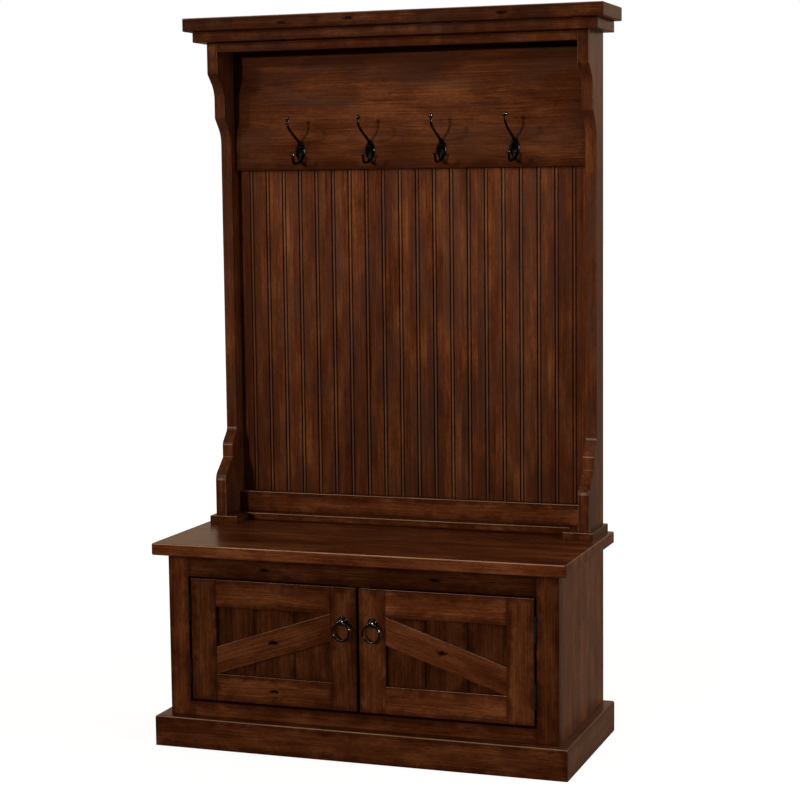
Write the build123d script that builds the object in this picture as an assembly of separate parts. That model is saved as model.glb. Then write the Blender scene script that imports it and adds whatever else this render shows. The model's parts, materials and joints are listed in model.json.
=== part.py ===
from build123d import *
import os

# Hall tree: a two-door bench cabinet with a coat-hook hutch standing on its seat.
# Millimetres, +Z up, doors facing -Y. The origin is on the floor, at the middle of the
# footprint, so the seat's front edge and the flat back are the same distance from it.

# ---- driving dimensions: overall ----
TOTAL_HEIGHT = 1829
SEAT_WIDTH = 1067
SEAT_DEPTH = 479
SEAT_TOP = 517.2
SEAT_THICKNESS = 30
BASE_WIDTH = 1070
CABINET_WIDTH = 1012
BOARD = 19                      # common thickness of the cabinet boards

# ---- base cabinet ----
FRAME_SETBACK = 40              # seat's front edge to the face frame
BASE_HEIGHT = 77
BASE_FRONT_SETBACK = 6.5        # seat's front edge to the base moulding
FRAME_STILE = 54.5
OPENING_BOTTOM = 112
OPENING_TOP = 431
CABINET_BACK_THICKNESS = 6

# ---- doors ----
DOOR_MEMBER = 68                # width of every stile and rail
DOOR_SIDE_GAP = 6               # holds both hinge leaves
DOOR_TOP_GAP = 5.2
DOOR_BOTTOM_GAP = 6.2
DOOR_MIDDLE_GAP = 7.5
PANEL_RECESS = 10.5
PANEL_THICKNESS = 6
GROOVE_DEPTH = 8
PLANK_COUNT = 3
PLANK_CHAMFER = 1.6
BRACE_SETBACK = 1
BRACE_HEIGHT = 69               # measured straight up

# ---- hinges ----
HINGE_HEIGHTS = (191, 352)
HINGE_LENGTH = 64
LEAF_THICKNESS = 2
LEAF_DEPTH = 18
LEAF_HALF_GAP = 1               # between a closed leaf and the middle of the gap
KNUCKLE_RADIUS = 2.9
KNUCKLE_PLAY = 0.2
KNUCKLE_ROOM = 0.4              # cut out of a leaf around the other leaf's knuckles
PIN_RADIUS = 1.5
PIN_CLEARANCE = 0.07
SCREW_RADIUS = 1.7
SCREW_HEAD_RADIUS = 3.3
HINGE_SCREW_LENGTH = 14
HINGE_SCREW_PLACES = ((-23, 12), (0, 7), (23, 12))      # height, depth behind the face

# ---- ring pulls ----
PULL_FROM_DOOR_EDGE = 35.5
PULL_HEIGHT = 342
ROSETTE_RADIUS = 12.5
ROSETTE_RIM = 1.5               # heights of the turned base above the door's face
ROSETTE_DISH = 3.5
ROSETTE_SHOULDER = 5
ROSETTE_RIM_WIDTH = 3
KNOB_RADIUS = 9.5
KNOB_STANDOFF = 11.5            # knob's centre in front of the door
RING_RADIUS = 21.7              # to the middle of the wire
RING_WIRE_RADIUS = 3
RING_HOLE_PLAY = 0.8
RING_PIVOT_DROP = 2.8           # below the knob's centre
RING_STANDOFF = 13              # ring's plane in front of the door
EYE_RADIUS = 6.4
EYE_WIDTH = 7
PULL_POST_LENGTH = 15
PULL_POST_RADIUS = 2.2
PULL_NECK_RADIUS = 6.5

# ---- door catch ----
CATCH_HALF_WIDTH = 28
CATCH_BOTTOM = 410
CATCH_DEPTH = 16
CATCH_LIP = 4                   # the catch sits this far over the opening's top edge
CATCH_FLANGE_TOP = 22           # above the opening
STRIKE_THICKNESS = 1
STRIKE_LIMITS = (5, 25)         # either side of the middle

# ---- hutch ----
SIDE_THICKNESS = 29
HUTCH_DEPTH = 146
HUTCH_TOP = 1768
FOOT_THICKNESS = 20
FOOT_INNER_X = 441
FOOT_OVERHANG = 12
STRIP_DEPTH = 88
LOWER_RAIL_TOP = 590
LOWER_RAIL_DEPTH = 55           # back plane to its face
HEAD_RAIL_BOTTOM = 1743
HOOK_BOARD_BOTTOM = 1440
HOOK_BOARD_DEPTH = 46
BEADBOARD_DEPTH = 28
BEADBOARD_THICKNESS = 12
BEAD_PITCH = 46.2
BEAD_COUNT = 20
BEAD_HALF_WIDTH = 4
BEAD_DEPTH = 2.4
BEAD_SHOULDER = 1.2             # width of the slope on each side of a bead
CORNICE_TOP = 1795
CORNICE_WIDTH = 1068
CORNICE_DEPTH = 171.5
CAP_WIDTH = 1106
CAP_DEPTH = 191.6
# The side panel's front edge from the top down: depth from the back, height, corner radius.
SIDE_PROFILE = [
    (HUTCH_DEPTH, 1688, 6),
    (105.5, 1647.5, 60),
    (105.5, 1576, 5),
    (69, 1533, 60),
    (69, 755, 20),
    (98.6, 723.5, 16),
    (98.6, 685, 4),
    (HUTCH_DEPTH, 643, 30),
]

# ---- coat hooks ----
HOOK_SPACING = 193.3
HOOK_COUNT = 4
HOOK_HEIGHT = 1488              # middle of the leaf-shaped plate
HOOK_PLATE_THICKNESS = 4
HOOK_PLATE_LENGTH = 54
HOOK_PLATE_WIDTH = 28
UPPER_ROD_RADIUS = 3.3
LOWER_ROD_RADIUS = 3.6
# Middle lines of the prongs, as distance out from the board and height, with the radii of
# the bends between the straight runs.
UPPER_PRONG = [(2, 14), (9, 24), (64, 49), (85, 64), (85, 82)]
UPPER_BENDS = [6, 40, 18]
LOWER_PRONG = [(2, -8), (11, -29), (46, -31.5), (56, -10)]
LOWER_BENDS = [9, 13]
UPPER_BALL_RADIUS = 6
LOWER_BALL_RADIUS = 5.2
HOOK_SCREW_OFFSETS = (-7, 12)
HOOK_SCREW_LENGTH = 18
HOOK_SCREW_HEAD_RADIUS = 3.4
HOOK_SCREW_HEAD_DEPTH = 2

# ---- rounded edges ----
MOULDING_ROUND = 5
SEAT_CORNER_ROUND = 7
SEAT_EDGE_ROUND = 4
STILE_CORNER_ROUND = 3
DOOR_EDGE_ROUND = 0.8
BRACE_EDGE_ROUND = 1
HUTCH_EDGE_ROUND = 2
HOOK_BOARD_ROUND = 1
CORNICE_CAP_ROUND = 3

# ---- planes worked out from those ----
BACK_Y = SEAT_DEPTH / 2
FRONT_Y = -SEAT_DEPTH / 2
FRAME_Y = FRONT_Y + FRAME_SETBACK
SEAT_BOTTOM = SEAT_TOP - SEAT_THICKNESS
CABINET_X = CABINET_WIDTH / 2
OPENING_X = CABINET_X - FRAME_STILE
HUTCH_INNER_X = CABINET_X - SIDE_THICKNESS
HUTCH_BOTTOM = SEAT_TOP + FOOT_THICKNESS
DOOR_BOTTOM = OPENING_BOTTOM + DOOR_BOTTOM_GAP
DOOR_TOP = OPENING_TOP - DOOR_TOP_GAP
DOOR_OUTER_X = OPENING_X - DOOR_SIDE_GAP
DOOR_INNER_X = DOOR_MIDDLE_GAP / 2
DOOR_BACK_Y = FRAME_Y + BOARD
HINGE_X = OPENING_X - DOOR_SIDE_GAP / 2
HINGE_Y = FRAME_Y - KNUCKLE_RADIUS
HOOK_FACE_Y = BACK_Y - HOOK_BOARD_DEPTH

SIDES = {"left": -1, "right": 1}
STANDING = (Align.CENTER, Align.CENTER, Align.MIN)      # stands on the local XY plane


def board(x_range, y_range, z_range):
    """A rectangular board between the given limits."""
    limits = [sorted(pair) for pair in (x_range, y_range, z_range)]
    sizes = [high - low for low, high in limits]
    middles = [(high + low) / 2 for low, high in limits]
    return Pos(*middles) * Box(*sizes)


def eased(solid, radius, edge_filter):
    """The solid with the chosen edges rounded over."""
    return fillet(solid.edges().filter_by(edge_filter), radius)


def at_front(solid, tolerance=0.01):
    """An edge filter for edges that lie wholly on the solid's front plane."""
    front = solid.bounding_box().min.Y
    return lambda edge: edge.bounding_box().max.Y < front + tolerance


def save(node, solid):
    export_step(solid, f"parts/{node}.step")


# ---------------------------------------------------------------- base cabinet

def base_moulding(name):
    """One length of the mitred plinth moulding, its top edge rounded over."""
    outer_x = BASE_WIDTH / 2
    outer_y = FRONT_Y + BASE_FRONT_SETBACK
    front_inner = [(-CABINET_X, FRAME_Y), (CABINET_X, FRAME_Y)]
    front_outer = [(outer_x, outer_y), (-outer_x, outer_y)]
    if name == "front":
        outline = front_inner + front_outer
    else:
        side = SIDES[name]
        outline = [(side * CABINET_X, FRAME_Y), (side * outer_x, outer_y),
                   (side * outer_x, BACK_Y), (side * CABINET_X, BACK_Y)]
    block = extrude(make_face(Polyline(*outline, close=True)), BASE_HEIGHT, dir=(0, 0, 1))

    def outer_top_edge(edge):
        box = edge.bounding_box()
        long_enough = max(box.size.X, box.size.Y) > 60
        on_outside = box.max.Y < outer_y + 0.1 or abs(edge.center().X) > outer_x - 0.1
        return box.min.Z > BASE_HEIGHT - 0.1 and long_enough and on_outside

    return eased(block, MOULDING_ROUND, outer_top_edge)


def cabinet_side(side):
    """A side panel standing on the floor, rabbeted for the back panel."""
    panel = board((side * (CABINET_X - BOARD), side * CABINET_X),
                  (FRAME_Y + BOARD, BACK_Y), (0, SEAT_BOTTOM))
    rabbet = board((side * (CABINET_X - BOARD), side * (CABINET_X - BOARD / 2)),
                   (BACK_Y - CABINET_BACK_THICKNESS, BACK_Y),
                   (OPENING_BOTTOM - BOARD, SEAT_BOTTOM))
    return panel - rabbet


def hinge_screw(side, height, depth, points_outward):
    """A countersunk wood screw through a hinge leaf, lying along X."""
    outward = side if points_outward else -side
    head_x = side * HINGE_X + outward * LEAF_HALF_GAP
    cone = Cone(SCREW_HEAD_RADIUS, SCREW_RADIUS, LEAF_THICKNESS, align=STANDING)
    shank = Cylinder(SCREW_RADIUS, HINGE_SCREW_LENGTH, align=STANDING)
    screw = cone + Pos(0, 0, LEAF_THICKNESS) * shank
    turn = Rot(0, 90 * outward, 0)
    return Pos(head_x, HINGE_Y + KNUCKLE_RADIUS + depth, height) * turn * screw


def hinge_screws(side, points_outward):
    """Three screws in each of a door's two leaves."""
    screws = []
    for middle in HINGE_HEIGHTS:
        for offset, depth in HINGE_SCREW_PLACES:
            screws.append(hinge_screw(side, middle + offset, depth, points_outward))
    return screws


def without(solid, cutters):
    for cutter in cutters:
        solid = solid - cutter
    return solid


def frame_stile(side):
    """A face-frame stile, with pilot holes for the hinge screws."""
    stile = board((side * OPENING_X, side * CABINET_X), (FRAME_Y, DOOR_BACK_Y), (0, SEAT_BOTTOM))

    def outer_corner(edge):
        box = edge.bounding_box()
        upright = box.size.Z > 100
        return upright and box.max.Y < FRAME_Y + 0.1 and abs(edge.center().X) > CABINET_X - 0.1

    stile = eased(stile, STILE_CORNER_ROUND, outer_corner)
    return without(stile, hinge_screws(side, points_outward=True))


def frame_rail(bottom, top):
    return board((-OPENING_X, OPENING_X), (FRAME_Y, DOOR_BACK_Y), (bottom, top))


def seat():
    """The seat slab, its front and end edges rounded."""
    slab = board((-SEAT_WIDTH / 2, SEAT_WIDTH / 2), (FRONT_Y, BACK_Y), (SEAT_BOTTOM, SEAT_TOP))

    def front_corner(edge):
        box = edge.bounding_box()
        return box.size.Z > SEAT_THICKNESS - 0.1 and box.max.Y < FRONT_Y + 0.1

    slab = eased(slab, SEAT_CORNER_ROUND, front_corner)

    def rim(edge):
        box = edge.bounding_box()
        return box.size.Z < 0.1 and box.min.Y < BACK_Y - 0.1

    return eased(slab, SEAT_EDGE_ROUND, rim)


# ---------------------------------------------------------------- doors

def door_members(side):
    """The stiles, rails, brace and planks of one door, by name."""
    outer, inner = side * DOOR_OUTER_X, side * DOOR_INNER_X
    outer_in = side * (DOOR_OUTER_X - DOOR_MEMBER)
    inner_in = side * (DOOR_INNER_X + DOOR_MEMBER)
    rail_top = DOOR_TOP - DOOR_MEMBER
    rail_bottom = DOOR_BOTTOM + DOOR_MEMBER
    thickness = (FRAME_Y, DOOR_BACK_Y)
    panel_y = (FRAME_Y + PANEL_RECESS, FRAME_Y + PANEL_RECESS + PANEL_THICKNESS)
    panel_x = (outer_in + side * GROOVE_DEPTH, inner_in - side * GROOVE_DEPTH)
    panel_z = (rail_bottom - GROOVE_DEPTH, rail_top + GROOVE_DEPTH)
    groove = board(panel_x, panel_y, (DOOR_BOTTOM, DOOR_TOP))
    panel_space = board(panel_x, panel_y, panel_z)

    members = {}
    members["outer_stile"] = board((outer_in, outer), thickness, (DOOR_BOTTOM, DOOR_TOP)) - groove
    members["inner_stile"] = board((inner, inner_in), thickness, (DOOR_BOTTOM, DOOR_TOP)) - groove
    for name, limits in (("top_rail", (rail_top, DOOR_TOP)),
                         ("bottom_rail", (DOOR_BOTTOM, rail_bottom))):
        rail = board((outer_in, inner_in), thickness, limits)
        stub_tenons = board(panel_x, panel_y, limits)
        members[name] = rail + stub_tenons - panel_space
    for name in members:
        members[name] = eased(members[name], DOOR_EDGE_ROUND, at_front(members[name]))
    members["outer_stile"] = without(members["outer_stile"],
                                     hinge_screws(side, points_outward=False))
    members["inner_stile"] = members["inner_stile"] - pull_centre(side) * pull_post()

    members["brace"] = brace(outer_in, inner_in, rail_bottom, rail_top)
    width = (panel_x[1] - panel_x[0]) / PLANK_COUNT
    for index in range(PLANK_COUNT):
        start = panel_x[0] + index * width
        plank = board((start, start + width), panel_y, panel_z)
        members[f"plank_{index + 1}"] = chamfered_plank(plank)
    return members


def brace(outer_in, inner_in, bottom, top):
    """The diagonal, from the outer bottom corner to the inner top corner of the frame."""
    front = FRAME_Y + BRACE_SETBACK
    corners = [(outer_in, front, bottom), (outer_in, front, bottom + BRACE_HEIGHT),
               (inner_in, front, top), (inner_in, front, top - BRACE_HEIGHT)]
    thickness = PANEL_RECESS - BRACE_SETBACK
    bar = extrude(make_face(Polyline(*corners, close=True)), thickness, dir=(0, 1, 0))
    return eased(bar, BRACE_EDGE_ROUND, at_front(bar))


def chamfered_plank(plank):
    """The plank with both upright front edges chamfered, to make V-joints."""
    front = plank.bounding_box().min.Y

    def upright_at_front(edge):
        box = edge.bounding_box()
        return box.size.Z > 100 and box.max.Y < front + 0.1

    return chamfer(plank.edges().filter_by(upright_at_front), PLANK_CHAMFER)


# ---------------------------------------------------------------- hinges

def knuckle(side, middle, low, high, bore):
    """A tube about the hinge axis, between two heights measured from the hinge's middle."""
    tube = Cylinder(KNUCKLE_RADIUS, high - low, align=STANDING)
    tube -= Cylinder(bore, high - low, align=STANDING)
    return Pos(side * HINGE_X, HINGE_Y, middle + low) * tube


def hinge_leaf(side, middle, points_outward):
    """One leaf of a butt hinge: the frame's leaf has two knuckles, the door's has one."""
    outward = side if points_outward else -side
    inner_x = side * HINGE_X + outward * LEAF_HALF_GAP
    outer_x = inner_x + outward * LEAF_THICKNESS
    end, joint = HINGE_LENGTH / 2, HINGE_LENGTH / 6
    plate = board((inner_x, outer_x), (HINGE_Y, FRAME_Y + LEAF_DEPTH),
                  (middle - end, middle + end))
    if points_outward:
        spans = [(-end, -joint - KNUCKLE_PLAY), (joint + KNUCKLE_PLAY, end)]
        cleared = [(-joint - KNUCKLE_PLAY, joint + KNUCKLE_PLAY)]
        bore = PIN_RADIUS
    else:
        spans = [(-joint + KNUCKLE_PLAY, joint - KNUCKLE_PLAY)]
        cleared = [(-end, -joint + KNUCKLE_PLAY), (joint - KNUCKLE_PLAY, end)]
        bore = PIN_RADIUS + PIN_CLEARANCE
    for low, high in cleared:
        clearance = Cylinder(KNUCKLE_RADIUS + KNUCKLE_ROOM, high - low, align=STANDING)
        plate -= Pos(side * HINGE_X, HINGE_Y, middle + low) * clearance
    for low, high in spans:
        core = Cylinder(bore, high - low, align=STANDING)
        plate += knuckle(side, middle, low, high, bore)
        plate -= Pos(side * HINGE_X, HINGE_Y, middle + low) * core
    screws = hinge_screws(side, points_outward)
    return without(plate, [screw for screw in screws if abs(screw.center().Z - middle) < end])


def hinge_pin(side, middle):
    return Pos(side * HINGE_X, HINGE_Y, middle) * Cylinder(PIN_RADIUS, HINGE_LENGTH)


# ---------------------------------------------------------------- ring pulls

def pull_centre(side):
    """Where a ring pull's axis meets the door's face."""
    return Pos(side * (DOOR_INNER_X + PULL_FROM_DOOR_EDGE), FRAME_Y, PULL_HEIGHT)


def pull_post():
    """The screw post behind a rosette, which is driven into the door's stile."""
    post = Cylinder(PULL_POST_RADIUS, PULL_POST_LENGTH)
    return Pos(0, PULL_POST_LENGTH / 2, 0) * Rot(90, 0, 0) * post


def rosette():
    """A turned base, neck and knob, with an eye through the knob for the ring."""
    outline = [(0, 0), (ROSETTE_RADIUS, 0), (ROSETTE_RADIUS, ROSETTE_RIM),
               (ROSETTE_RADIUS - ROSETTE_RIM_WIDTH, ROSETTE_DISH),
               (PULL_NECK_RADIUS, ROSETTE_SHOULDER), (0, ROSETTE_SHOULDER)]
    base = revolve(Rot(90, 0, 0) * make_face(Polyline(*outline, close=True)), Axis.Z)
    knob = Pos(0, 0, KNOB_STANDOFF) * Sphere(KNOB_RADIUS)
    neck = Cylinder(PULL_NECK_RADIUS, RING_STANDOFF, align=STANDING)
    turned = Rot(90, 0, 0) * (base + neck + knob)
    eye_at = Pos(0, -RING_STANDOFF, -RING_PIVOT_DROP) * Rot(0, 90, 0)
    eye = eye_at * Cylinder(EYE_RADIUS, EYE_WIDTH)
    eye_hole = eye_at * Cylinder(RING_WIRE_RADIUS + RING_HOLE_PLAY, EYE_WIDTH)
    room = eye_at * Cylinder(EYE_RADIUS, 3 * KNOB_RADIUS)
    room -= eye_at * Box(3 * EYE_RADIUS, 3 * EYE_RADIUS, EYE_WIDTH)
    return turned - room + eye - eye_hole + pull_post()


def ring():
    """The ring, hanging with its top inside the eye."""
    hoop = Rot(90, 0, 0) * Torus(RING_RADIUS, RING_WIRE_RADIUS)
    return Pos(0, -RING_STANDOFF, -RING_PIVOT_DROP - RING_RADIUS) * hoop


# ---------------------------------------------------------------- door catch

def door_catch():
    """A double magnetic catch hung from the back of the top rail."""
    width = (-CATCH_HALF_WIDTH, CATCH_HALF_WIDTH)
    magnet_face = DOOR_BACK_Y + STRIKE_THICKNESS + 0.5
    body = board(width, (magnet_face, DOOR_BACK_Y + CATCH_DEPTH),
                 (CATCH_BOTTOM, OPENING_TOP + CATCH_LIP))
    flange = board(width, (DOOR_BACK_Y, DOOR_BACK_Y + CATCH_LIP),
                   (OPENING_TOP + 1, OPENING_TOP + CATCH_FLANGE_TOP))
    return body + flange


def catch_strike(side):
    """The steel plate on the back of a door that the magnet holds."""
    near, far = STRIKE_LIMITS
    return board((side * near, side * far), (DOOR_BACK_Y, DOOR_BACK_Y + STRIKE_THICKNESS),
                 (CATCH_BOTTOM + 1, DOOR_TOP - 2))


# ---------------------------------------------------------------- hutch

def hutch_side(side):
    """A scrolled side panel, grooved inside for the beadboard."""
    corners = [(HUTCH_DEPTH, HUTCH_TOP)]
    corners += [(depth, height) for depth, height, radius in SIDE_PROFILE]
    corners += [(HUTCH_DEPTH, HUTCH_BOTTOM), (0, HUTCH_BOTTOM), (0, HUTCH_TOP)]
    points = [(0, BACK_Y - depth, height) for depth, height in corners]
    outline = make_face(Polyline(*points, close=True)).face()
    for depth, height, radius in SIDE_PROFILE:
        corner = Vector(0, BACK_Y - depth, height)
        nearest = outline.vertices().sort_by_distance(corner)[0]
        outline = outline.fillet_2d(radius, [nearest])
    panel = Pos(side * HUTCH_INNER_X, 0, 0) * extrude(outline, SIDE_THICKNESS, dir=(side, 0, 0))

    def front_edge(edge):
        box = edge.bounding_box()
        in_front = box.max.Y < BACK_Y - 60
        follows_profile = box.size.X < 0.1
        return in_front and follows_profile

    panel = eased(panel, HUTCH_EDGE_ROUND, front_edge)
    groove = board((side * HUTCH_INNER_X, side * (HUTCH_INNER_X + GROOVE_DEPTH)),
                   beadboard_y(), (HUTCH_BOTTOM, HUTCH_TOP))
    return panel - groove


def beadboard_y():
    front = BACK_Y - BEADBOARD_DEPTH
    return (front, front + BEADBOARD_THICKNESS)


def beadboard():
    """One grooved panel: rounded beads standing between pairs of V-cuts."""
    front, back = beadboard_y()
    edge_x = HUTCH_INNER_X + GROOVE_DEPTH - 0.5
    panel = board((-edge_x, edge_x), (front, back), (HUTCH_BOTTOM, HUTCH_TOP))
    first = -BEAD_PITCH * (BEAD_COUNT - 1) / 2
    centres = [first + BEAD_PITCH * index for index in range(BEAD_COUNT)]
    shoulder = BEAD_HALF_WIDTH + BEAD_SHOULDER
    cuts = []
    for x in centres:
        foot_left = (x - BEAD_HALF_WIDTH, front + BEAD_DEPTH)
        foot_right = (x + BEAD_HALF_WIDTH, front + BEAD_DEPTH)
        crown = (x, front + 0.05)
        outline = Curve() + [
            Line((x - shoulder, front - 1), (x - shoulder, front)),
            Line((x - shoulder, front), foot_left),
            ThreePointArc(foot_left, crown, foot_right),
            Line(foot_right, (x + shoulder, front)),
            Line((x + shoulder, front), (x + shoulder, front - 1)),
            Line((x + shoulder, front - 1), (x - shoulder, front - 1)),
        ]
        cut = extrude(make_face(outline), HUTCH_TOP - HUTCH_BOTTOM, dir=(0, 0, 1))
        cuts.append(Pos(0, 0, HUTCH_BOTTOM) * cut)
    return without(panel, cuts)


def foot(side):
    """The pad under a side panel, wider and deeper than the panel."""
    front = BACK_Y - HUTCH_DEPTH - FOOT_OVERHANG
    pad = board((side * FOOT_INNER_X, side * (CABINET_X + FOOT_OVERHANG)), (front, BACK_Y),
                (SEAT_TOP, HUTCH_BOTTOM))
    return eased(pad, HUTCH_EDGE_ROUND, lambda edge: top_rim(edge, HUTCH_BOTTOM))


def top_rim(edge, height):
    """Whether an edge is on the top face and not at the back."""
    box = edge.bounding_box()
    return box.min.Z > height - 0.1 and box.min.Y < BACK_Y - 0.1


def cross_board(half_width, depth, thickness, bottom, top, radius):
    """A board between the hutch sides, with its long front edges rounded."""
    front = BACK_Y - depth
    plank = board((-half_width, half_width), (front, front + thickness), (bottom, top))

    def long_front_edge(edge):
        box = edge.bounding_box()
        return box.size.X > 2 * half_width - 1 and box.max.Y < front + 0.1

    return eased(plank, radius, long_front_edge)


def crown_board(width, depth, bottom, top, radius):
    """A flat board across the top, rounded along its front and ends."""
    slab = board((-width / 2, width / 2), (BACK_Y - depth, BACK_Y), (bottom, top))

    def rim(edge):
        box = edge.bounding_box()
        return box.min.Y < BACK_Y - 0.1

    return eased(slab, radius, rim)


# ---------------------------------------------------------------- coat hooks

def hook_x(index):
    return HOOK_SPACING * (index - (HOOK_COUNT - 1) / 2)


def rod(points, radii, rod_radius):
    """A round bar along a path of straight runs joined by tangent arcs."""
    path = FilletPolyline(*[(0, -out, rise) for out, rise in points], radius=radii)
    section = Plane(origin=path @ 0, z_dir=path % 0) * Circle(rod_radius)
    return sweep(section, path=path)


def hook_screw(offset):
    """A countersunk screw through the plate into the hook board."""
    cone = Cone(HOOK_SCREW_HEAD_RADIUS, SCREW_RADIUS, HOOK_SCREW_HEAD_DEPTH, align=STANDING)
    shank = Cylinder(SCREW_RADIUS, HOOK_SCREW_LENGTH - HOOK_SCREW_HEAD_DEPTH, align=STANDING)
    screw = cone + Pos(0, 0, HOOK_SCREW_HEAD_DEPTH) * shank
    return Pos(0, -HOOK_PLATE_THICKNESS, offset) * Rot(-90, 0, 0) * screw


def hook_screws_local():
    return [hook_screw(offset) for offset in HOOK_SCREW_OFFSETS]


def coat_hook():
    """A two-pronged hook: leaf-shaped plate, long upper prong, short upturned lower one."""
    half_length, half_width = HOOK_PLATE_LENGTH / 2, HOOK_PLATE_WIDTH / 2
    bulge = (half_length ** 2 + half_width ** 2) / (2 * half_width)
    offset = bulge - half_width
    lens = Pos(offset, 0) * Circle(bulge) & Pos(-offset, 0) * Circle(bulge)
    plate = Rot(90, 0, 0) * extrude(lens, HOOK_PLATE_THICKNESS)
    hook = plate + rod(UPPER_PRONG, UPPER_BENDS, UPPER_ROD_RADIUS)
    hook += rod(LOWER_PRONG, LOWER_BENDS, LOWER_ROD_RADIUS)
    for prong, ball_radius in ((UPPER_PRONG, UPPER_BALL_RADIUS),
                               (LOWER_PRONG, LOWER_BALL_RADIUS)):
        out, rise = prong[-1]
        hook += Pos(0, -out, rise) * Sphere(ball_radius)
    behind_plate = board((-half_width, half_width), (0, half_width),
                         (-half_length, half_length))
    return without(hook - behind_plate, hook_screws_local())


# ---------------------------------------------------------------- assembly

def main():
    os.makedirs("parts", exist_ok=True)

    save("base_moulding_front", base_moulding("front"))
    save("frame_rail_top", frame_rail(OPENING_TOP, SEAT_BOTTOM))
    save("frame_rail_bottom", frame_rail(0, OPENING_BOTTOM))
    inner_x = CABINET_X - BOARD
    save("cabinet_floor", board((-inner_x, inner_x),
                                (DOOR_BACK_Y, BACK_Y - CABINET_BACK_THICKNESS),
                                (OPENING_BOTTOM - BOARD, OPENING_BOTTOM)))
    back_x = inner_x + BOARD / 2 - 0.5
    save("cabinet_back", board((-back_x, back_x), (BACK_Y - CABINET_BACK_THICKNESS, BACK_Y),
                               (OPENING_BOTTOM - BOARD, SEAT_BOTTOM)))
    save("seat_top", seat())
    save("door_catch", door_catch())

    hook_board = cross_board(HUTCH_INNER_X, HOOK_BOARD_DEPTH,
                             HOOK_BOARD_DEPTH - BEADBOARD_DEPTH,
                             HOOK_BOARD_BOTTOM, HUTCH_TOP, HOOK_BOARD_ROUND)
    all_hook_screws = []
    for index in range(HOOK_COUNT):
        place = Pos(hook_x(index), HOOK_FACE_Y, HOOK_HEIGHT)
        save(f"coat_hook_{index + 1}", place * coat_hook())
        all_hook_screws += [place * screw for screw in hook_screws_local()]
    save("hook_board", without(hook_board, all_hook_screws))
    save("hook_screws", Compound(all_hook_screws))

    frame_screws, pins = [], []
    for name, side in SIDES.items():
        save(f"base_moulding_{name}", base_moulding(name))
        save(f"cabinet_side_{name}", cabinet_side(side))
        save(f"frame_stile_{name}", frame_stile(side))
        save(f"hutch_side_{name}", hutch_side(side))
        save(f"hutch_foot_{name}", foot(side))
        for member, solid in door_members(side).items():
            save(f"door_{name}_{member}", solid)
        leaves = [hinge_leaf(side, middle, points_outward=True) for middle in HINGE_HEIGHTS]
        save(f"hinge_frame_leaves_{name}", Compound(leaves))
        leaves = [hinge_leaf(side, middle, points_outward=False) for middle in HINGE_HEIGHTS]
        save(f"hinge_door_leaves_{name}", Compound(leaves))
        pins += [hinge_pin(side, middle) for middle in HINGE_HEIGHTS]
        save(f"door_{name}_hinge_screws", Compound(hinge_screws(side, points_outward=False)))
        frame_screws += hinge_screws(side, points_outward=True)
        save(f"pull_rosette_{name}", pull_centre(side) * rosette())
        save(f"pull_ring_{name}", pull_centre(side) * ring())
        save(f"catch_strike_{name}", catch_strike(side))
    save("hinge_frame_screws", Compound(frame_screws))
    save("hinge_pins", Compound(pins))

    save("back_strip", cross_board(FOOT_INNER_X, STRIP_DEPTH, STRIP_DEPTH,
                                   SEAT_TOP, HUTCH_BOTTOM, HUTCH_EDGE_ROUND))
    save("lower_rail", cross_board(HUTCH_INNER_X, LOWER_RAIL_DEPTH,
                                   LOWER_RAIL_DEPTH - BEADBOARD_DEPTH,
                                   HUTCH_BOTTOM, LOWER_RAIL_TOP, HUTCH_EDGE_ROUND))
    save("head_rail", cross_board(HUTCH_INNER_X, HUTCH_DEPTH, BOARD,
                                  HEAD_RAIL_BOTTOM, HUTCH_TOP, HOOK_BOARD_ROUND))
    save("beadboard_panel", beadboard())
    save("cornice_board", crown_board(CORNICE_WIDTH, CORNICE_DEPTH, HUTCH_TOP, CORNICE_TOP,
                                      HUTCH_EDGE_ROUND))
    save("cornice_cap", crown_board(CAP_WIDTH, CAP_DEPTH, CORNICE_TOP, TOTAL_HEIGHT,
                                    CORNICE_CAP_ROUND))


main()
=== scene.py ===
import json
import math

import bmesh
import bpy
from mathutils import Matrix, Vector


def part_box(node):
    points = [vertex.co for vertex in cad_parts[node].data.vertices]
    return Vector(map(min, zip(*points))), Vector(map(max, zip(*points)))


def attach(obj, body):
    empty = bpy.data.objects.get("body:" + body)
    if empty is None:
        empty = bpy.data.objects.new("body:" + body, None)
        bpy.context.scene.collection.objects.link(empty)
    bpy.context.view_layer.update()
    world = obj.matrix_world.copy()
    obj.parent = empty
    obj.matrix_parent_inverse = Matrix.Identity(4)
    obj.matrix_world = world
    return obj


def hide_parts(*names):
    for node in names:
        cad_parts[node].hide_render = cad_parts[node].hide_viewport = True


# Looks for the hall tree: stained wood, dark iron hardware, studio light and camera.
# Everything is in metres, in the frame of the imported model: +Z up, doors facing -Y.

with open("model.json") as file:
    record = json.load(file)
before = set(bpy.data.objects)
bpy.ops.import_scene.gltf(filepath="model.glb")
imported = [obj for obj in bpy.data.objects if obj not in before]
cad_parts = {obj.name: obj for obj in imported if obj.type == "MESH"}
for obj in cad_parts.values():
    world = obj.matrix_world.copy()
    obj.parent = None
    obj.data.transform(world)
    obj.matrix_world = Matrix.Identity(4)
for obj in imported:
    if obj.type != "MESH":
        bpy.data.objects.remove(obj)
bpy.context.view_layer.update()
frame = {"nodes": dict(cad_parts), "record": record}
nodes = frame["nodes"]
scene = bpy.context.scene
MM = 0.001


# ---------------------------------------------------------------- shader helpers

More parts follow.
